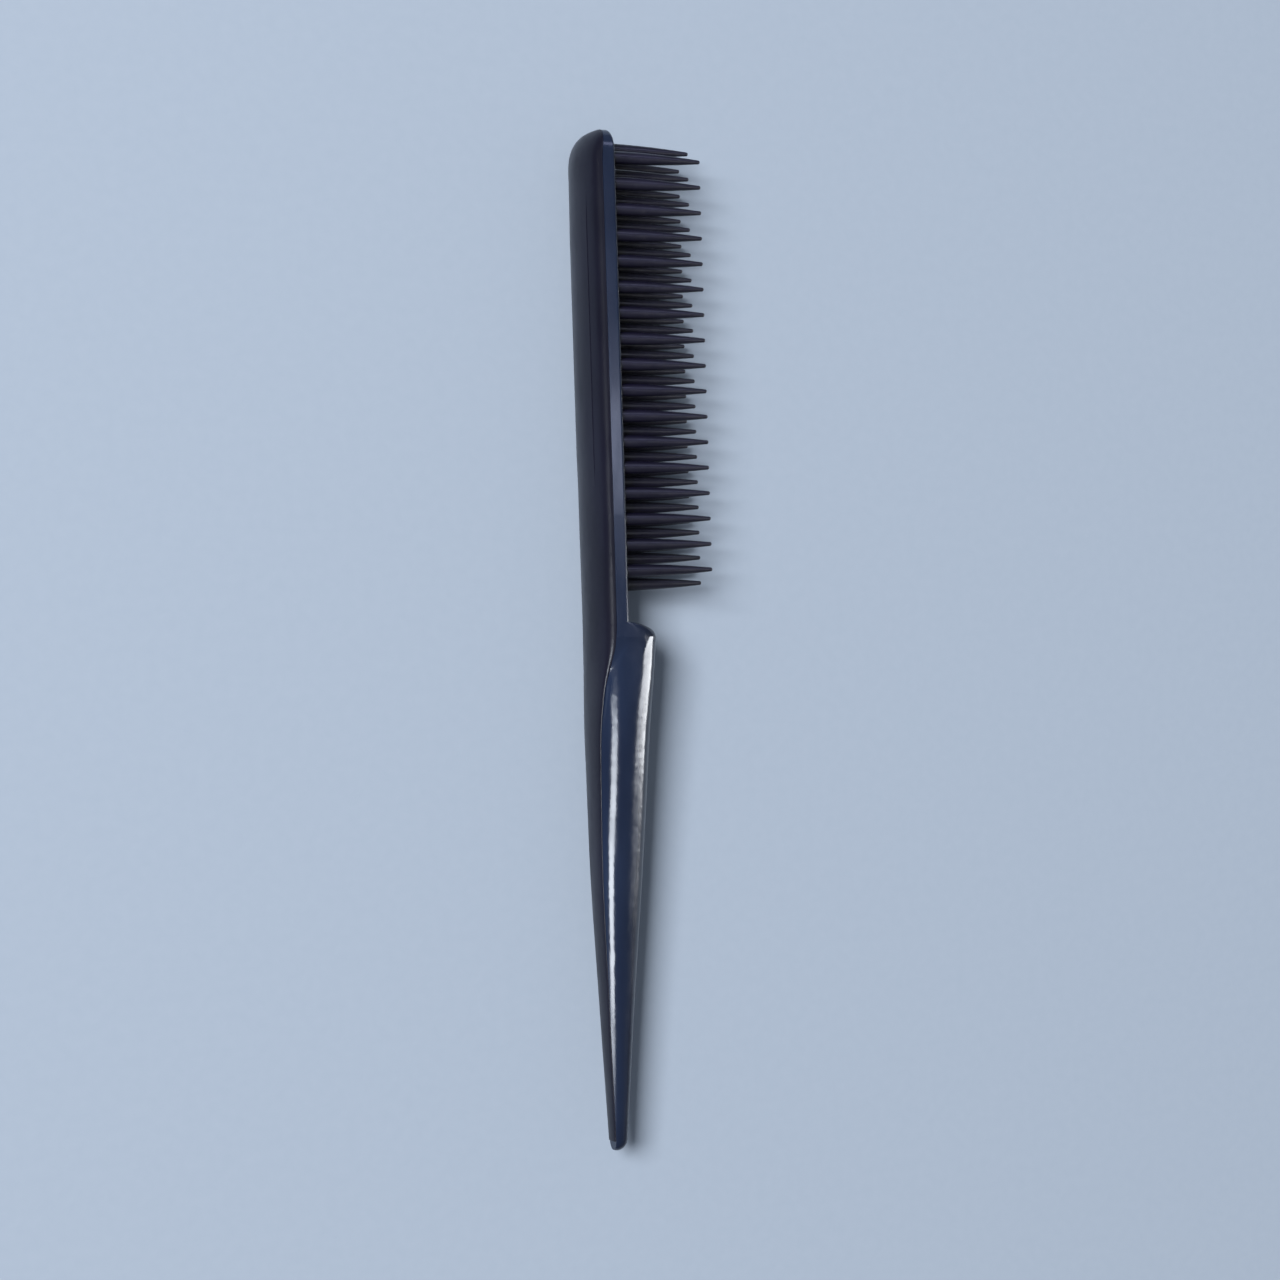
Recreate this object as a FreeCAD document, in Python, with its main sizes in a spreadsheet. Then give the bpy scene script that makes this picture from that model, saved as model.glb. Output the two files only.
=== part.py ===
import FreeCAD, Part
import Sketcher
import math
import os

# Rat tail teasing comb, millimetres.  The comb lies on its side: Y runs from the tail tip up to the
# domed head, X points the way the teeth point, and Z runs across the three tooth rows.
# Stations are measured along Y from the tail tip; X is 0 at the face the teeth come out of.

V = FreeCAD.Vector
Rot = FreeCAD.Rotation
doc = FreeCAD.newDocument("rat_tail_comb")
sheet = doc.addObject("Spreadsheet::Sheet", "Dims")
next_row = [1]


def dim(alias, value):
    cell = "B%d" % next_row[0]
    sheet.set("A%d" % next_row[0], alias)
    sheet.set(cell, str(value))
    sheet.setAlias(cell, alias)
    next_row[0] += 1


SIZES = {
    "overall_length": 225.0,
    "tooth_reach": 21.5,
    "middle_tooth_reach": 21.2,
    "tooth_root_radius": 1.42,
    "tooth_end_radius": 0.45,
    "tooth_flank_radius": 200.0,
    "tooth_pitch": 5.676,
    "first_middle_tooth": 221.4,
    "outer_tooth_count": 17,
    "middle_tooth_count": 18,
    "row_gap": 5.4,
    "plate_thickness": 1.4,
    "foot_thickness": 1.4,
    "foot_half_width": 1.3,
    "foot_overhang": 1.9,
    "hole_clearance": 0.1,
    "spine_half_width": 8.0,
    "side_wall_depth": 3.15,
    "rim_rounding": 0.8,
    "neck_half_width": 7.75,
    "neck_end": 112.9,
    "neck_taper_start": 140.0,
    "head_corner_radius": 5.0,
    "dome_start": 217.0,
    "dome_length": 8.0,
    "dome_lift": 1.3,
    "shoulder_reach": 3.3,
    "shoulder_inset": 0.994,
    "tip_inset": 0.985,
    "shell_wall": 1.4,
    "front_wall": 2.2,
    "recess_half_width": 6.8,
    "recess_end": 122.6,
    "seam_gap": 0.08,
    "panel_half_width": 4.8,
    "panel_rise": 0.2,
    "panel_start": 142.0,
    "panel_end": 216.0,
    "panel_fade": 14.0,
    "core_half_width": 3.4,
    "core_depth": 1.8,
    "peg_radius": 0.9,
    "boss_wall": 0.9,
    "peg_length": 4.5,
}
for alias, value in SIZES.items():
    dim(alias, value)

# Grip stations: how far from the tail tip, where the seam lies, how wide the seam is, how far the
# back crowns behind it, the widest half width of the grip, how far its front stands out and how
# full its section is (2 is an ellipse, more is squarer).
GRIP = {
    "tip": (2.3, -4.6, 1.9, 0.40, 2.05, -1.2, 2.0),
    "tail": (31.0, -5.5, 2.75, 0.50, 3.6, 1.25, 2.0),
    "shank": (66.0, -6.4, 3.6, 0.70, 5.5, 4.65, 2.0),
    "palm": (90.0, -6.25, 4.4, 0.95, 7.1, 6.5, 2.1),
    "swell": (101.5, -5.5, 5.6, 1.30, 7.7, 7.3, 2.5),
    "shoulder": (113.2, -3.3, 7.75, 3.40, 7.85, 8.1, 3.2),
}
PARTS_OF_STATION = ("at", "seam", "seam_half", "crown", "half", "front", "fullness")
for name, values in GRIP.items():
    for what, value in zip(PARTS_OF_STATION, values):
        dim("%s_%s" % (name, what), value)
# Above the shoulder only the seam and the crown go on, through the neck to the straight head.
NECK = {
    "neck": (118.5, -3.15, 7.8, 3.5),
    "head": (140.0, -3.15, 8.0, 3.5),
}
for name, values in NECK.items():
    for what, value in zip(PARTS_OF_STATION, values):
        dim("%s_%s" % (name, what), value)
doc.recompute()


def size(alias):
    return float(sheet.get(alias))


def sheet_names(text):
    """Let a formula name the cells plainly, and add the sheet's own name in front."""
    words = list(SIZES)
    words += ["%s_%s" % (n, w) for n in list(GRIP) + list(NECK) for w in PARTS_OF_STATION]
    out = ""
    word = ""
    for char in text + " ":
        if char.isalnum() or char == "_":
            word += char
            continue
        out += ("Dims." + word) if word in words else word
        out += char
        word = ""
    return out.strip()


def put(obj, x="0", y="0", z="0", turn=None):
    """Place an object by three formulas and one turn."""
    obj.Placement = FreeCAD.Placement(V(0, 0, 0), turn or Rot())
    obj.setExpression("Placement.Base.x", sheet_names(x))
    obj.setExpression("Placement.Base.y", sheet_names(y))
    obj.setExpression("Placement.Base.z", sheet_names(z))
    return obj


def make(kind, name, **formulas):
    obj = doc.addObject(kind, name)
    for prop, text in formulas.items():
        obj.setExpression(prop, sheet_names(text))
    return obj


def box(name, x0, x1, y0, y1, half):
    """A box between two X and two Y formulas, centred on the middle plane."""
    size = make("Part::Box", name, Length="(%s) - (%s)" % (x1, x0), Width="(%s) - (%s)" % (y1, y0),
                Height="2 * (%s)" % half)
    return put(size, x0, y0, "-(%s)" % half)


def smooth(stations, what, at):
    """A station value carried smoothly to any distance, without overshooting between stations."""
    xs = [size(n + "_at") for n in stations]
    ys = [size("%s_%s" % (n, what)) for n in stations]
    if at <= xs[0]:
        return ys[0]
    if at >= xs[-1]:
        return ys[-1]
    rises = [(ys[i + 1] - ys[i]) / (xs[i + 1] - xs[i]) for i in range(len(xs) - 1)]
    slopes = [rises[0]]
    for before, after in zip(rises, rises[1:]):
        same_way = before * after > 0
        slopes.append(2 * before * after / (before + after) if same_way else 0.0)
    slopes.append(rises[-1])
    i = max(k for k in range(len(xs) - 1) if xs[k] <= at)
    step = xs[i + 1] - xs[i]
    u = (at - xs[i]) / step
    start = (2 * u ** 3 - 3 * u ** 2 + 1) * ys[i] + (u ** 3 - 2 * u ** 2 + u) * step * slopes[i]
    finish = (3 * u ** 2 - 2 * u ** 3) * ys[i + 1] + (u ** 3 - u ** 2) * step * slopes[i + 1]
    return start + finish


def evenly(start, end, spacing):
    count = max(2, int(round((end - start) / spacing)))
    return [start + (end - start) * i / count for i in range(count + 1)]


def ring(at, centre, deep, wide):
    """An elliptical section across Y with half axes deep along X and wide along Z."""
    if deep >= wide:
        return Part.Ellipse(V(centre + deep, at, 0), V(centre, at, wide), V(centre, at, 0))
    return Part.Ellipse(V(centre, at, wide), V(centre + deep, at, 0), V(centre, at, 0))


def half_ring(at, wide):
    """The rear half of an elliptical section at the seam, as deep as the crown behind it."""
    outline = ring(at, seam_at(at), crown_at(at), wide)
    return Part.ArcOfEllipse(outline, math.pi, 2 * math.pi)


def along_arc(arc):
    """Evenly turned points from one end of an arc to the other."""
    first, last = arc.FirstParameter, arc.LastParameter
    return [arc.value(first + (last - first) * i / 16) for i in range(17)]


def skinned(rows):
    """A solid whose curved side passes through every row and whose flat side joins their ends."""
    surface = Part.BSplineSurface()
    surface.interpolate(rows)
    side = surface.toShape()
    low = surface.vIso(surface.bounds()[2]).toShape()
    high = surface.vIso(surface.bounds()[3]).toShape()
    faces = [side, Part.makeRuledSurface(low, high)]
    for end in surface.bounds()[:2]:
        edge = surface.uIso(end).toShape()
        ends = [v.Point for v in edge.Vertexes]
        faces.append(Part.Face(Part.Wire([edge, Part.makeLine(ends[1], ends[0])])))
    shell = Part.makeShell(faces)
    shell.sewShape()
    solid = Part.makeSolid(shell)
    if solid.Volume < 0:
        solid.reverse()
    return solid


def free_form(name, shape):
    """A moulded free-form solid that no primitive or sketch describes."""
    held = doc.addObject("Part::Feature", name)
    held.Shape = shape
    return held


def fuse(name, shapes):
    whole = doc.addObject("Part::MultiFuse", name)
    whole.Shapes = shapes
    return whole


def cut(name, base, tool):
    left = doc.addObject("Part::Cut", name)
    left.Base = base
    left.Tool = tool
    return left


def common(name, first, second):
    both = doc.addObject("Part::MultiCommon", name)
    both.Shapes = [first, second]
    return both


# ---- the seam that runs from the dome to the tail tip and parts the two shells ----
SEAM_STATIONS = list(GRIP) + list(NECK)


def over_dome(at):
    """0 where the dome starts, 1 at the very top."""
    return max(at - size("dome_start"), 0) / size("dome_length")


def seam_at(at):
    """The seam is straight along the head and runs forward again over the dome."""
    return smooth(SEAM_STATIONS, "seam", at) + size("dome_lift") * over_dome(at) ** 2


def crown_at(at):
    """How far the back stands behind the seam; it rounds off to nothing over the dome."""
    left = max(1 - over_dome(at) ** 2, 0)
    lift = size("dome_lift")
    return (smooth(SEAM_STATIONS, "crown", at) + lift) * left ** 0.5 - lift * left


def front_side(name):
    """Everything on the tooth side of the seam."""
    top = size("overall_length")
    edges = []
    for start, end, spacing in ((-3, size("head_at"), 6.5), (size("dome_start"), top + 1, 1.5)):
        curve = Part.BSplineCurve()
        curve.interpolate([V(seam_at(at), at, -20) for at in evenly(start, end, spacing)])
        if edges:
            edges.append(Part.makeLine(edges[-1].Vertexes[-1].Point, curve.StartPoint))
        edges.append(curve.toShape())
    corners = [curve.EndPoint, V(40, top + 1, -20), V(40, -3, -20), V(seam_at(-3), -3, -20)]
    edges += [Part.makeLine(p, q) for p, q in zip(corners, corners[1:])]
    return free_form(name, Part.Face(Part.Wire(edges)).extrude(V(0, 0, 40)))


# ---- front body: grip, shoulder, neck and toothed plate in one moulding ----
def grip_section(at, front):
    """Centre and half depth of the section that reaches the front and passes through the seam edge."""
    seam = smooth(GRIP, "seam", at)
    full = smooth(GRIP, "fullness", at)
    lean = (1 - (smooth(GRIP, "seam_half", at) / smooth(GRIP, "half", at)) ** full) ** (1 / full)
    centre = (lean * front + seam) / (1 + lean)
    return centre, front - centre


def arch(y, centre, deep, half, full, turn):
    """Points round a full-bodied section at y, as far to each side of the front as the turn says."""
    points = []
    for step in range(-12, 13):
        angle = turn * step / 12
        deep_part = math.copysign(abs(math.cos(angle)) ** (2 / full), math.cos(angle))
        wide_part = math.copysign(abs(math.sin(angle)) ** (2 / full), math.sin(angle))
        points.append(V(centre + deep * deep_part, y, half * wide_part))
    return points


# The grip runs on a little behind the seam and is trimmed to it with everything else.
grip_rows = []
for at in evenly(size("tip_at"), size("shoulder_at"), 6.0):
    centre, deep = grip_section(at, smooth(GRIP, "front", at))
    full = smooth(GRIP, "fullness", at)
    back = min((centre - smooth(GRIP, "seam", at) + 0.4) / deep, 0.97)
    turn = math.pi - math.acos(back ** (full / 2))
    grip_rows.append(arch(at, centre, deep, smooth(GRIP, "half", at), full, turn))
grip_skin = free_form("grip_skin", skinned(grip_rows))

# The shoulder rounds over from the full grip down to the toothed face.  It starts a hair inside the
# grip and its legs stand in the plate.
shoulder_rows = []
shoulder_half = size("shoulder_half") * size("shoulder_inset")
deep = deep * size("shoulder_inset")
for step in range(-1, 10):
    angle = math.radians(9.85 * max(step, 0))
    y = size("shoulder_at") + size("shoulder_reach") * math.sin(angle) + min(step, 0) * 0.4
    over = arch(y, centre, deep * math.cos(angle), shoulder_half, full, math.pi / 2)
    low_leg = [V(centre - inset, y, -shoulder_half) for inset in (1.5, 0.75)]
    high_leg = [V(centre - inset, y, shoulder_half) for inset in (0.75, 1.5)]
    shoulder_rows.append(low_leg + over + high_leg)
shoulder_cap = free_form("shoulder_cap", skinned(shoulder_rows))

# Half an ellipsoid, a hair inside the grip as well, carries the tail on to nothing.
tip_centre, tip_deep = grip_section(size("tip_at"), size("tip_front"))
tip_cap = make("Part::Ellipsoid", "tip_cap", Radius1="tip_at + 0.3", Radius3="tip_half * tip_inset")
tip_cap.Radius2 = tip_deep * size("tip_inset")
tip_cap.Angle1 = 0
tip_cap.Angle2 = 90
tip_cap.Angle3 = 360
put(tip_cap, str(tip_centre), "tip_at + 0.3", "0", Rot(V(1, 0, 0), 90))


def plate_outline(name, depth):
    """The flat head and neck, seen from the teeth, drawn on the YZ plane and given a depth along -X."""
    sketch = doc.addObject("Sketcher::SketchObject", name + "_outline")
    sketch.Placement = FreeCAD.Placement(V(0, 0, 0), Rot(V(1, 1, 1), 120))
    top = SIZES["overall_length"]
    wide = SIZES["spine_half_width"]
    corner = SIZES["head_corner_radius"]
    start = SIZES["neck_taper_start"]
    end = SIZES["neck_end"]
    neck = SIZES["neck_half_width"]
    points = [V(end, -neck, 0), V(start, -wide, 0), V(top - corner, -wide, 0), V(top, corner - wide, 0),
              V(top, wide - corner, 0), V(top - corner, wide, 0), V(start, wide, 0), V(end, neck, 0)]
    for first, second in ((0, 1), (1, 2), (3, 4), (5, 6), (6, 7), (7, 0)):
        sketch.addGeometry(Part.LineSegment(points[first], points[second]), False)
    low = Part.Circle(V(top - corner, corner - wide, 0), V(0, 0, 1), corner)
    high = Part.Circle(V(top - corner, wide - corner, 0), V(0, 0, 1), corner)
    sketch.addGeometry(Part.ArcOfCircle(low, -1.5707963, 0.0), False)
    sketch.addGeometry(Part.ArcOfCircle(high, 0.0, 1.5707963), False)
    add = sketch.addConstraint
    for one, two in ((0, 1), (3, 4), (4, 5), (5, 0)):
        add(Sketcher.Constraint("Coincident", one, 2, two, 1))
    for one, two in ((1, 6), (6, 2), (2, 7), (7, 3)):
        add(Sketcher.Constraint("Tangent", one, 2, two, 1))
    add(Sketcher.Constraint("Horizontal", 1))
    add(Sketcher.Constraint("Horizontal", 3))
    add(Sketcher.Constraint("Vertical", 2))
    add(Sketcher.Constraint("Equal", 6, 7))
    add(Sketcher.Constraint("Symmetric", 0, 2, 3, 2, -1))
    add(Sketcher.Constraint("Symmetric", 5, 1, 5, 2, -1))
    bound = [
        (Sketcher.Constraint("DistanceX", -1, 1, 5, 2, end), "neck_end"),
        (Sketcher.Constraint("DistanceX", -1, 1, 0, 2, start), "neck_taper_start"),
        (Sketcher.Constraint("DistanceX", -1, 1, 2, 1, top), "overall_length"),
        (Sketcher.Constraint("DistanceY", 0, 1, 5, 1, 2 * neck), "2 * neck_half_width"),
        (Sketcher.Constraint("DistanceY", 0, 2, 3, 2, 2 * wide), "2 * spine_half_width"),
        (Sketcher.Constraint("Radius", 6, corner), "head_corner_radius"),
    ]
    for constraint, formula in bound:
        index = add(constraint)
        sketch.setExpression("Constraints[%d]" % index, sheet_names(formula))
    slab = make("Part::Extrusion", name, LengthFwd=depth)
    slab.Base = sketch
    slab.DirMode = "Custom"
    slab.Dir = V(-1, 0, 0)
    slab.Solid = True
    return slab


plate = plate_outline("head_plate", "side_wall_depth + 1.3")
doc.recompute()

# The rim facing the teeth is rounded over all the way round the head.
rim = doc.addObject("Part::Fillet", "rounded_plate")
rim.Base = plate
rim_edges = []
for number, edge in enumerate(plate.Shape.Edges, 1):
    flat = edge.BoundBox.XMin > -0.01 and edge.BoundBox.XMax < 0.01
    if flat and edge.BoundBox.YMax > SIZES["neck_end"] + 1:
        rim_edges.append((number, SIZES["rim_rounding"], SIZES["rim_rounding"]))
rim.Edges = rim_edges

front_mass = fuse("front_mass", [grip_skin, shoulder_cap, tip_cap, rim])
front_blank = common("front_blank", front_mass, front_side("front_region"))

# The grip is cored out from the seam so its walls stay even.
core_rings = []
for name, shift in (("tail", 6), ("shank", -12), ("shank", 10), ("palm", 0), ("shoulder", -3)):
    at = size(name + "_at") + shift
    seam = smooth(GRIP, "seam", at)
    front = smooth(GRIP, "front", at) - size("front_wall")
    half = smooth(GRIP, "seam_half", at) - size("shell_wall")
    waist = seam + 0.6 * (front - seam)
    corners = [V(seam - 2, at, -half), V(waist, at, -half), V(front, at, -0.45 * half),
               V(front, at, 0.45 * half), V(waist, at, half), V(seam - 2, at, half)]
    core_rings.append(Part.makePolygon(corners + corners[:1]))
grip_core = free_form("grip_core", Part.makeLoft(core_rings, True, True))
FIRST_OUTER = "first_middle_tooth - tooth_pitch / 2"
foot_bed = box("foot_bed", "-side_wall_depth - 2", "-plate_thickness", "recess_end",
               FIRST_OUTER + " + foot_overhang + 0.1", "recess_half_width")
middle_bed = box("middle_bed", "-side_wall_depth - 2", "-plate_thickness", "dome_start",
                 "first_middle_tooth + foot_overhang + 0.1", "foot_half_width + 0.1")
front_hollows = fuse("front_hollows", [grip_core, foot_bed, middle_bed])
front_shell = cut("front_shell", front_blank, front_hollows)

# Round sockets stand in the hollow grip and take the pegs of the back cover.
PEGS = [("swell", "+ 3"), ("palm", "+ 2"), ("shank", "+ 14"), ("shank", "- 6")]


def peg(name, station, offset, start, end, radius):
    """A round pin along X, between two X formulas."""
    pin = make("Part::Cylinder", name, Radius=radius, Height="(%s) - (%s)" % (end, start))
    return put(pin, start, "%s_at %s" % (station, offset), "0", Rot(V(0, 1, 0), 90))


bosses = []
sockets = []
for number, (station, offset) in enumerate(PEGS, 1):
    seam = station + "_seam"
    bosses.append(peg("boss_%d" % number, station, offset, seam + " + 0.6", station + "_front - 1.6",
                      "peg_radius + boss_wall"))
    sockets.append(peg("socket_%d" % number, station, offset, seam + " - 1",
                       seam + " + peg_length + 0.5", "peg_radius + 0.08"))
front_bossed = fuse("front_bossed", [front_shell] + bosses)
front_whole = cut("front_whole", front_bossed, fuse("sockets", sockets))
doc.recompute()

front = doc.addObject("PartDesign::Body", "front_body")
front.BaseFeature = front_whole


def origin_plane(body, role):
    return [f for f in body.Origin.OriginFeatures if f.Role == role][0]


def hole_row(name, first_tooth, height, count):
    """One row of round holes through the toothed plate, one for each tooth."""
    sketch = front.newObject("Sketcher::SketchObject", name + "_circle")
    sketch.AttachmentSupport = [(origin_plane(front, "YZ_Plane"), "")]
    sketch.MapMode = "FlatFace"
    sketch.addGeometry(Part.Circle(V(200, 5, 0), V(0, 0, 1), 1.5), False)
    index = sketch.addConstraint(Sketcher.Constraint("Radius", 0, 1.5))
    sketch.setExpression("Constraints[%d]" % index, sheet_names("tooth_root_radius + hole_clearance"))
    index = sketch.addConstraint(Sketcher.Constraint("DistanceX", -1, 1, 0, 3, 200))
    sketch.setExpression("Constraints[%d]" % index, sheet_names(first_tooth))
    if height:
        index = sketch.addConstraint(Sketcher.Constraint("DistanceY", -1, 1, 0, 3, 5))
        sketch.setExpression("Constraints[%d]" % index, sheet_names("row_gap"))
        if height < 0:
            sketch.setDatum(index, -5)
            sketch.setExpression("Constraints[%d]" % index, sheet_names("-row_gap"))
    else:
        sketch.addConstraint(Sketcher.Constraint("PointOnObject", 0, 3, -1))
    hole = front.newObject("PartDesign::Pocket", name)
    hole.Profile = sketch
    hole.Midplane = True
    hole.Length = 10
    pattern = front.newObject("PartDesign::LinearPattern", name + "_row")
    pattern.Originals = [hole]
    pattern.Direction = (sketch, ["H_Axis"])
    pattern.Reversed = True
    pattern.setExpression("Length", sheet_names("(%s - 1) * tooth_pitch" % count))
    pattern.setExpression("Occurrences", sheet_names(count))
    front.Tip = pattern


hole_row("near_holes", FIRST_OUTER, 1, "outer_tooth_count")
hole_row("middle_holes", "first_middle_tooth", 0, "middle_tooth_count")
hole_row("far_holes", FIRST_OUTER, -1, "outer_tooth_count")

# ---- back cover: the crowned back of the head, narrowing to a band down the tail ----
crown_arcs = [half_ring(at, smooth(SEAM_STATIONS, "seam_half", at))
              for at in evenly(size("tip_at"), size("head_at"), 4.0)]
crown_tail = free_form("crown_tail", skinned([along_arc(arc) for arc in crown_arcs]))

crown_edge = crown_arcs[-1].toShape()
crown_ends = [v.Point for v in crown_edge.Vertexes]
head_section = Part.Face(Part.Wire([crown_edge, Part.makeLine(crown_ends[1], crown_ends[0])]))
crown_head = free_form("crown_head", head_section.extrude(V(0, size("dome_start") - size("head_at"), 0)))

# The dome falls away in an even curve and keeps inside the rounded corners of the plate.
dome_rows = []
corner = size("head_corner_radius")
for step in range(18):
    at = size("dome_start") + size("dome_length") * math.sin(math.radians(5 * step))
    past = max(at - (size("overall_length") - corner), 0)
    wide = size("spine_half_width") - corner + (corner ** 2 - past ** 2) ** 0.5
    dome_rows.append(along_arc(half_ring(at, wide)))
dome = free_form("dome", skinned(dome_rows))

# A low raised panel runs along the back of the head and sinks into it at both ends.
panel_rows = []
for at in evenly(size("panel_start"), size("panel_end"), 5.0):
    inset = min(at - size("panel_start"), size("panel_end") - at) / size("panel_fade")
    share = min(inset, 1) ** 2 * (3 - 2 * min(inset, 1))
    deep = size("head_crown") + size("panel_rise") * (1.3 * share - 0.3)
    outline = ring(at, size("head_seam"), deep, size("head_seam_half"))
    panel_rows.append(along_arc(Part.ArcOfEllipse(outline, math.pi, 2 * math.pi)))
panel_plan = box("panel_plan", "-side_wall_depth - 6", "-side_wall_depth - 1", "panel_start", "panel_end",
                 "panel_half_width")
panel = common("panel", free_form("panel_block", skinned(panel_rows)), panel_plan)

cover_blank = fuse("cover_blank", [crown_tail, crown_head, dome, panel])
foot_top = "-plate_thickness - foot_thickness"
cover_bed = box("cover_bed", foot_top + " - 0.1", "0", "dome_start",
                "first_middle_tooth + foot_overhang + 0.1", "foot_half_width + 0.1")
cover_core = box("cover_core", foot_top + " - core_depth", "0", "recess_end + 2",
                 "first_middle_tooth - 6", "core_half_width")
cover_shell = cut("cover_shell", cover_blank, fuse("cover_hollows", [cover_bed, cover_core]))
# Cross ribs press the feet of the tooth rails against the plate.
ribs = []
for number in range(5):
    at = "recess_end + %d" % (8 + number * 18)
    ribs.append(box("rib_%d" % (number + 1), foot_top + " - core_depth - 0.3", foot_top,
                    at, at + " + 1.2", "core_half_width + 0.3"))
pegs = []
for number, (station, offset) in enumerate(PEGS, 1):
    pegs.append(peg("peg_%d" % number, station, offset, station + "_seam - 0.35",
                    station + "_seam + peg_length", "peg_radius"))
cover = fuse("back_cover", [cover_shell] + ribs + pegs)


# ---- tooth rails: a flat foot with one row of tapering teeth, three times ----
def tooth_rail(name, reach, count):
    body = doc.addObject("PartDesign::Body", name)
    side = body.newObject("Sketcher::SketchObject", name + "_foot_outline")
    side.AttachmentSupport = [(origin_plane(body, "XY_Plane"), "")]
    side.MapMode = "FlatFace"
    corners = [V(-2.8, 1.9, 0), V(-1.4, 1.9, 0), V(-1.4, -90, 0), V(-2.8, -90, 0)]
    for number in range(4):
        side.addGeometry(Part.LineSegment(corners[number], corners[(number + 1) % 4]), False)
    for number in range(4):
        side.addConstraint(Sketcher.Constraint("Coincident", number, 2, (number + 1) % 4, 1))
    for number, way in enumerate(("Horizontal", "Vertical", "Horizontal", "Vertical")):
        side.addConstraint(Sketcher.Constraint(way, number))
    bound = [
        (Sketcher.Constraint("DistanceX", 1, 1, -1, 1, 1.4), "plate_thickness"),
        (Sketcher.Constraint("DistanceX", 0, 1, 0, 2, 1.4), "foot_thickness"),
        (Sketcher.Constraint("DistanceY", -1, 1, 0, 1, 1.9), "foot_overhang"),
        (Sketcher.Constraint("DistanceY", 1, 2, -1, 1, 90),
         "(%s - 1) * tooth_pitch + foot_overhang" % count),
    ]
    for constraint, formula in bound:
        index = side.addConstraint(constraint)
        side.setExpression("Constraints[%d]" % index, sheet_names(formula))
    foot = body.newObject("PartDesign::Pad", name + "_foot")
    foot.Profile = side
    foot.Midplane = True
    foot.setExpression("Length", sheet_names("2 * foot_half_width"))

    root = SIZES["tooth_root_radius"]
    end = SIZES["tooth_end_radius"]
    length = SIZES[reach]
    flank = SIZES["tooth_flank_radius"]
    chord = V(length - end, end - root, 0)
    down = V(end - root, end - length, 0).normalize()
    middle = V(0, root, 0) + chord * 0.5 + down * (flank ** 2 - chord.Length ** 2 / 4) ** 0.5
    tip_angle = math.atan2(end - middle.y, length - end - middle.x)
    root_angle = math.atan2(root - middle.y, -middle.x)
    profile = body.newObject("Sketcher::SketchObject", name + "_tooth_profile")
    profile.AttachmentSupport = [(origin_plane(body, "XY_Plane"), "")]
    profile.MapMode = "FlatFace"
    inner = -SIZES["plate_thickness"] - 0.5
    profile.addGeometry(Part.LineSegment(V(inner, 0, 0), V(inner, root, 0)), False)
    profile.addGeometry(Part.LineSegment(V(inner, root, 0), V(0, root, 0)), False)
    side = Part.Circle(middle, V(0, 0, 1), flank)
    profile.addGeometry(Part.ArcOfCircle(side, tip_angle, root_angle), False)
    tip = Part.Circle(V(length - end, 0, 0), V(0, 0, 1), end)
    profile.addGeometry(Part.ArcOfCircle(tip, 0.0, 1.5707963), False)
    profile.addGeometry(Part.LineSegment(V(length, 0, 0), V(inner, 0, 0)), False)
    add = profile.addConstraint
    add(Sketcher.Constraint("Coincident", 0, 2, 1, 1))
    add(Sketcher.Constraint("Coincident", 1, 2, 2, 2))
    add(Sketcher.Constraint("Coincident", 2, 1, 3, 2))
    add(Sketcher.Constraint("Coincident", 3, 1, 4, 1))
    add(Sketcher.Constraint("Coincident", 4, 2, 0, 1))
    add(Sketcher.Constraint("PointOnObject", 0, 1, -1))
    add(Sketcher.Constraint("PointOnObject", 3, 3, -1))
    add(Sketcher.Constraint("PointOnObject", 3, 1, -1))
    add(Sketcher.Constraint("PointOnObject", 1, 2, -2))
    add(Sketcher.Constraint("Vertical", 0))
    add(Sketcher.Constraint("Horizontal", 1))
    add(Sketcher.Constraint("Vertical", 3, 3, 3, 2))
    bound = [
        (Sketcher.Constraint("DistanceX", 0, 1, -1, 1, -inner), "plate_thickness + 0.5"),
        (Sketcher.Constraint("DistanceY", 0, 1, 0, 2, root), "tooth_root_radius"),
        (Sketcher.Constraint("DistanceX", -1, 1, 3, 1, length), reach),
        (Sketcher.Constraint("Radius", 3, end), "tooth_end_radius"),
        (Sketcher.Constraint("Radius", 2, flank), "tooth_flank_radius"),
    ]
    for constraint, formula in bound:
        index = add(constraint)
        profile.setExpression("Constraints[%d]" % index, sheet_names(formula))
    tooth = body.newObject("PartDesign::Revolution", name + "_tooth")
    tooth.Profile = profile
    tooth.ReferenceAxis = (profile, ["H_Axis"])
    tooth.Angle = 360
    row = body.newObject("PartDesign::LinearPattern", name + "_teeth")
    row.Originals = [tooth]
    row.Direction = (profile, ["V_Axis"])
    row.Reversed = True
    row.setExpression("Length", sheet_names("(%s - 1) * tooth_pitch" % count))
    row.setExpression("Occurrences", sheet_names(count))
    body.Tip = row
    return body


near_rail = tooth_rail("near_tooth_rail", "tooth_reach", "outer_tooth_count")
middle_rail = tooth_rail("middle_tooth_rail", "middle_tooth_reach", "middle_tooth_count")
far_rail = tooth_rail("far_tooth_rail", "tooth_reach", "outer_tooth_count")

# ---- everything moves so the comb stands on Z 0 with its middle over the origin ----
deepest = "palm_crown - palm_seam + seam_gap"
AT_X = "-(tooth_reach - (%s)) / 2" % deepest
AT_Y = "-overall_length / 2"
AT_Z = "spine_half_width"
put(near_rail, AT_X, AT_Y + " + " + FIRST_OUTER, AT_Z + " + row_gap")
put(middle_rail, AT_X, AT_Y + " + first_middle_tooth", AT_Z)
put(far_rail, AT_X, AT_Y + " + " + FIRST_OUTER, AT_Z + " - row_gap")
put(front, AT_X, AT_Y, AT_Z)
put(cover, AT_X + " - seam_gap", AT_Y, AT_Z)
doc.recompute()

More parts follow.
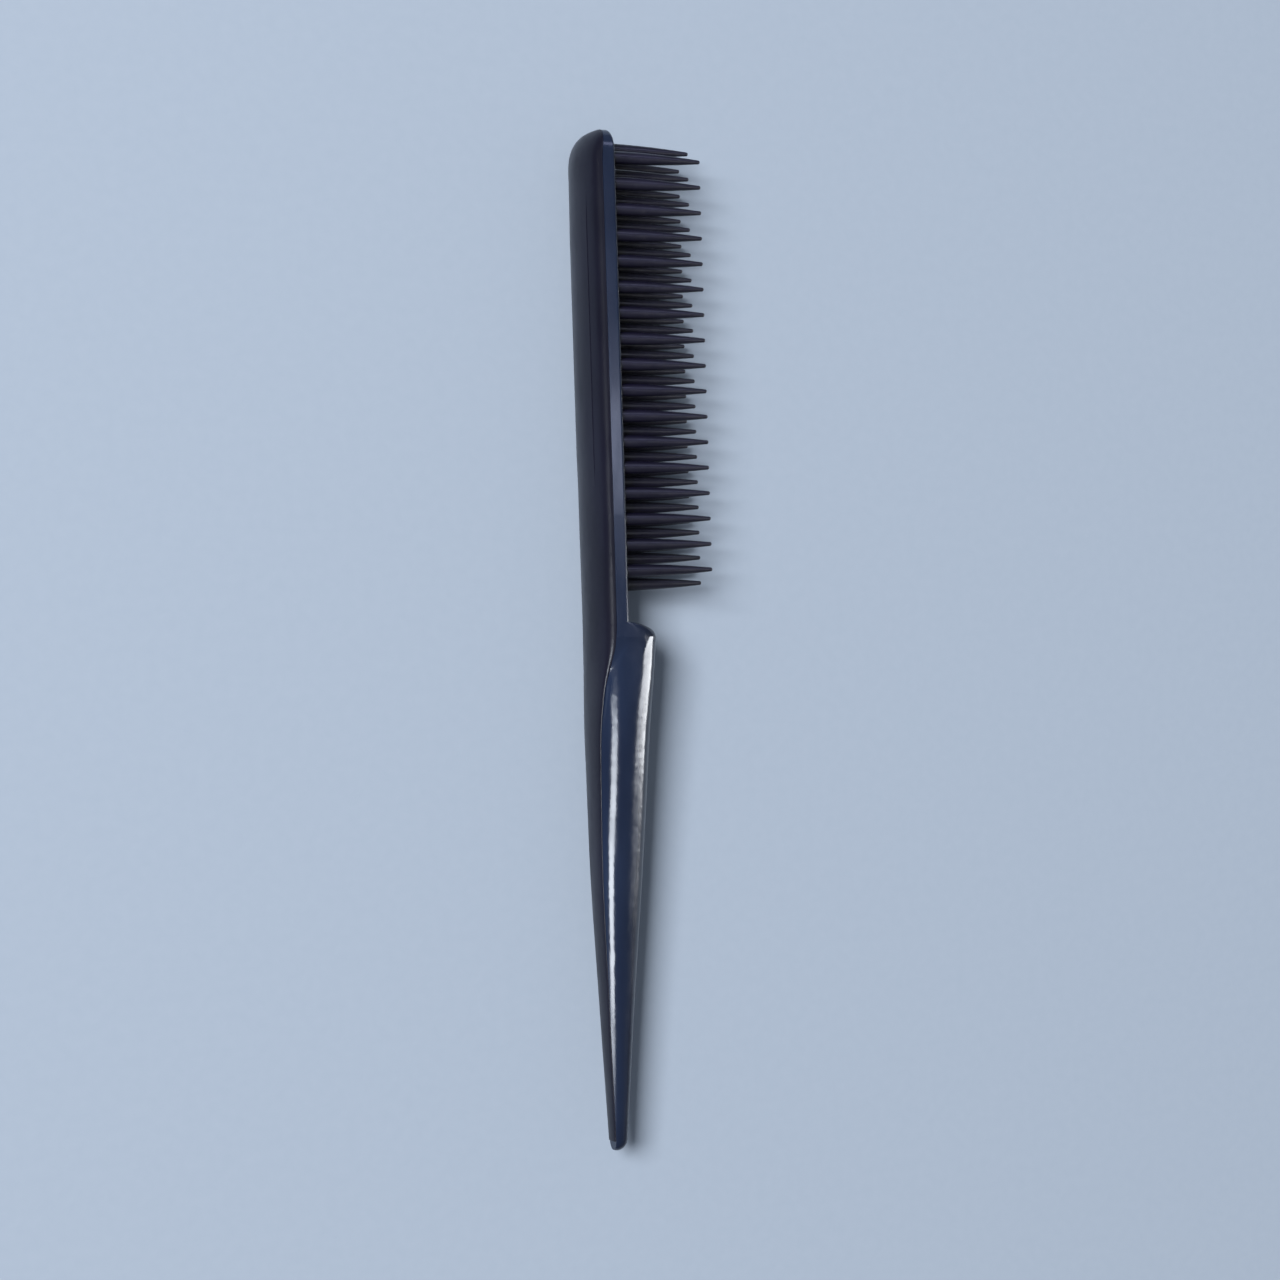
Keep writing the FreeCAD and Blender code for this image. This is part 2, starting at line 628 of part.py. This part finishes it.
NODES = {
    "front_body": front,
    "back_cover": cover,
    "near_tooth_rail": near_rail,
    "middle_tooth_rail": middle_rail,
    "far_tooth_rail": far_rail,
}
for obj in doc.Objects:
    if "Invalid" in obj.State or "Error" in obj.State:
        raise RuntimeError("%s did not compute: %s" % (obj.Name, obj.State))
os.makedirs("parts", exist_ok=True)
for name, obj in NODES.items():
    obj.Label = name
    shape = obj.Shape
    if shape.isNull() or not shape.isValid() or len(shape.Solids) != 1:
        raise RuntimeError("%s is not one sound solid: %d" % (name, len(shape.Solids)))
    shape.exportStep("parts/%s.step" % name)
    print(name, round(shape.Volume, 1), shape.BoundBox)
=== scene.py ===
import math
import bpy
from mathutils import Matrix, Vector


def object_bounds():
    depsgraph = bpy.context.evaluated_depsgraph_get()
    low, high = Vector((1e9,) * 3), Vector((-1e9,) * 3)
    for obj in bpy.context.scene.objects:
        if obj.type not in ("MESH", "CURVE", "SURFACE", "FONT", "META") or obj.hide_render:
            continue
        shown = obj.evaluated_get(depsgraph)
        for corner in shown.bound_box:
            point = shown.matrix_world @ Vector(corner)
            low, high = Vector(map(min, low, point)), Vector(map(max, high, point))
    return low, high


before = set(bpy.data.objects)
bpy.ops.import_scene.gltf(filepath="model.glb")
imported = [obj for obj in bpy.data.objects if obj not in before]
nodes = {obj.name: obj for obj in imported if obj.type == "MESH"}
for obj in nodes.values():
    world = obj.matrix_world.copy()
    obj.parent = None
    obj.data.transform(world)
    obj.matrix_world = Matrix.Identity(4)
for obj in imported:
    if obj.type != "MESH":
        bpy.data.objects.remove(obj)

# All lengths are in metres and all light powers in watts, unless a name says otherwise.
cad_low, cad_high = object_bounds()

# The floor lies a hair below the comb, so that the two never share a plane.
FLOOR_SIZE = 6
FLOOR_GAP = 0.0002
FLOOR_SHADES = (0.322, 0.380, 0.465, 1), (0.331, 0.389, 0.474, 1)

# The camera stands above the comb, leaned towards its back and turned a little about its own axis.
CAMERA_LEAN = math.radians(24)
CAMERA_TURN = math.radians(-1.8)
CAMERA_DISTANCE = 0.534
SENSOR_MM = 36
LENS_MM = 67.5
AIM_SHIFT = -0.0014

# Each soft box: name, direction in degrees, distance, place along Y, length, width, power, whether it
# glows, colour.  Direction 0 is the way the teeth point, 90 is straight up and 180 is the comb's back.
LIGHTS = (
    ("key", 132, 3.6, 0.9, 1.5, 1.5, 225, True, (1, 1, 1)),
    ("overhead_strip", 121, 1.0, -0.24, 0.20, 0.34, 5, False, (0.86, 0.92, 1.0)),
    ("window", 20, 1.0, -0.10, 0.18, 0.95, 9, False, (0.92, 0.95, 1.0)),
    ("flange_glint", 66, 1.0, 0.12, 0.08, 0.20, 0.3, False, (0.70, 0.76, 1.0)),
    ("tooth_sheen", 60, 1.0, 0.75, 0.25, 0.9, 2.5, False, (0.62, 0.66, 1.0)),
)
SKY_COLOUR = (0.80, 0.86, 0.96, 1)
SKY_STRENGTH = 0.25

# Noise scales of the plastic, from its broad clouds down to its finest grain.
CLOUD_SCALE = 90
FLOW_SCALE = 130
POLISH_SCALE = 260
RUB_SCALE = 2600
GRAIN_SCALE = 5200
FLOW_HEIGHT = 0.0004
RUB_HEIGHT = 0.00005
GRAIN_HEIGHT = 0.00004
FAINT = 0.05
PLASTIC_IOR = 1.43
COAT_ROUGHNESS = 0.08


# ---- small helpers for node trees ----
def new_material(name):
    material = bpy.data.materials.new(name)
    material.use_nodes = True
    tree = material.node_tree
    return material, tree, tree.nodes["Principled BSDF"]


def node(tree, kind, **inputs):
    made = tree.nodes.new(kind)
    for socket, value in inputs.items():
        made.inputs[socket].default_value = value
    return made


def link(tree, source, socket, target, into):
    tree.links.new(source.outputs[socket], target.inputs[into])


def noise(tree, scale, detail, stretch=(1, 1, 1), rough=0.5):
    """Noise over the object's own coordinates; a stretch below 1 draws it out along that axis."""
    where = tree.nodes.new("ShaderNodeTexCoord")
    mapping = node(tree, "ShaderNodeMapping", Scale=stretch)
    link(tree, where, "Object", mapping, "Vector")
    made = node(tree, "ShaderNodeTexNoise", Scale=scale, Detail=detail, Roughness=rough)
    link(tree, mapping, "Vector", made, "Vector")
    return made


def ramp(tree, source, low, high, first, second):
    """A colour ramp between two stops."""
    made = tree.nodes.new("ShaderNodeValToRGB")
    made.color_ramp.elements[0].position = low
    made.color_ramp.elements[1].position = high
    made.color_ramp.elements[0].color = first
    made.color_ramp.elements[1].color = second
    link(tree, source, "Fac", made, "Fac")
    return made


def bump(tree, source, strength, height, under=None):
    """Raise the surface by a noise, on top of the bump under it."""
    made = node(tree, "ShaderNodeBump", Strength=strength, Distance=height)
    link(tree, source, "Fac", made, "Height")
    if under:
        link(tree, under, "Normal", made, "Normal")
    return made


def grey(value):
    return (value, value, value, 1)


def moulded_plastic(name, dark, light, smooth, rough, ripple, coat):
    """Injection-moulded plastic: clouded colour, uneven polish, hair-fine rub marks and flow ripple."""
    material, tree, shader = new_material(name)
    cloud = noise(tree, CLOUD_SCALE, 5, (1, 0.35, 1))
    tint = ramp(tree, cloud, 0.35, 0.7, dark, light)
    link(tree, tint, "Color", shader, "Base Color")

    polish = noise(tree, POLISH_SCALE, 6, (1, 0.25, 1), 0.6)
    gloss = ramp(tree, polish, 0.35, 0.75, grey(smooth), grey(rough))
    link(tree, gloss, "Color", shader, "Roughness")

    grained = bump(tree, noise(tree, GRAIN_SCALE, 2), FAINT, GRAIN_HEIGHT)
    rubbed = bump(tree, noise(tree, RUB_SCALE, 3, (1, 0.03, 1)), FAINT, RUB_HEIGHT, grained)
    rippled = bump(tree, noise(tree, FLOW_SCALE, 1, (1, 0.3, 1)), ripple, FLOW_HEIGHT, rubbed)
    link(tree, rippled, "Normal", shader, "Normal")

    shader.inputs["IOR"].default_value = PLASTIC_IOR
    shader.inputs["Coat Weight"].default_value = coat
    shader.inputs["Coat Roughness"].default_value = COAT_ROUGHNESS
    return material


# ---- the comb: a glossy grip, a satin back and satin teeth ----
grip_plastic = moulded_plastic("grip_plastic", (0.005, 0.010, 0.028, 1), (0.010, 0.018, 0.044, 1),
                               smooth=0.13, rough=0.25, ripple=0.03, coat=0.15)
cover_plastic = moulded_plastic("cover_plastic", (0.0025, 0.0025, 0.008, 1), (0.005, 0.005, 0.014, 1),
                                smooth=0.28, rough=0.44, ripple=0.05, coat=0.0)
tooth_plastic = moulded_plastic("tooth_plastic", (0.003, 0.0025, 0.010, 1), (0.006, 0.005, 0.017, 1),
                                smooth=0.28, rough=0.44, ripple=0.05, coat=0.0)

FINISH = {
    "front_body": grip_plastic,
    "back_cover": cover_plastic,
    "near_tooth_rail": tooth_plastic,
    "middle_tooth_rail": tooth_plastic,
    "far_tooth_rail": tooth_plastic,
}
for name, material in FINISH.items():
    piece = nodes[name]
    piece.data.materials.clear()
    piece.data.materials.append(material)

# ---- floor ----
middle = (cad_low + cad_high) / 2
floor_place = (middle.x, middle.y, cad_low.z - FLOOR_GAP)
bpy.ops.mesh.primitive_plane_add(size=FLOOR_SIZE, location=floor_place)
floor = bpy.context.object
floor.name = "floor"
paper, tree, shader = new_material("floor_paper")
tone = ramp(tree, noise(tree, 400, 3), 0.3, 0.7, *FLOOR_SHADES)
link(tree, tone, "Color", shader, "Base Color")
shader.inputs["Roughness"].default_value = 0.9
shader.inputs["Specular IOR Level"].default_value = 0.1
floor.data.materials.append(paper)

# ---- camera ----
level_right = Vector((math.cos(CAMERA_LEAN), 0, math.sin(CAMERA_LEAN)))
level_up = Vector((0, 1, 0))
toward = Vector((-math.sin(CAMERA_LEAN), 0, math.cos(CAMERA_LEAN)))
right = level_right * math.cos(CAMERA_TURN) + level_up * math.sin(CAMERA_TURN)
up = level_up * math.cos(CAMERA_TURN) - level_right * math.sin(CAMERA_TURN)
aim = Vector((middle.x + AIM_SHIFT, 0.0, middle.z))
camera_data = bpy.data.cameras.new("camera")
camera_data.sensor_width = SENSOR_MM
camera_data.lens = LENS_MM
camera_data.clip_start = 0.01
camera_data.clip_end = 20
camera = bpy.data.objects.new("camera", camera_data)
axes = Matrix((right, up, toward)).transposed().to_4x4()
camera.matrix_world = Matrix.Translation(aim + toward * CAMERA_DISTANCE) @ axes
bpy.context.scene.collection.objects.link(camera)
bpy.context.scene.camera = camera


# ---- soft studio light ----
def soft_light(name, direction, distance, along, length, width, power, glows, tint):
    """A soft box facing the comb.  One that glows lights everything around but does not mirror in
    the plastic; the others are strips that only make its highlights."""
    data = bpy.data.lights.new(name, "AREA")
    data.shape = "RECTANGLE"
    data.size = width
    data.size_y = length
    data.energy = power
    data.color = tint
    lamp = bpy.data.objects.new(name, data)
    lamp.visible_glossy = not glows
    lamp.visible_diffuse = glows
    bpy.context.scene.collection.objects.link(lamp)
    angle = math.radians(direction)
    away = Vector((math.cos(angle), 0, math.sin(angle)))
    place = aim + away * distance + Vector((0, along, 0))
    face = (place - aim).normalized()
    side = Vector((0, 1, 0)).cross(face).normalized()
    rise = face.cross(side).normalized()
    lamp.matrix_world = Matrix.Translation(place) @ Matrix((side, rise, face)).transposed().to_4x4()


for light in LIGHTS:
    soft_light(*light)

world = bpy.data.worlds.new("studio")
bpy.context.scene.world = world
world.use_nodes = True
backdrop = world.node_tree.nodes["Background"]
backdrop.inputs["Color"].default_value = SKY_COLOUR
backdrop.inputs["Strength"].default_value = SKY_STRENGTH

bpy.context.scene.view_settings.view_transform = "Standard"
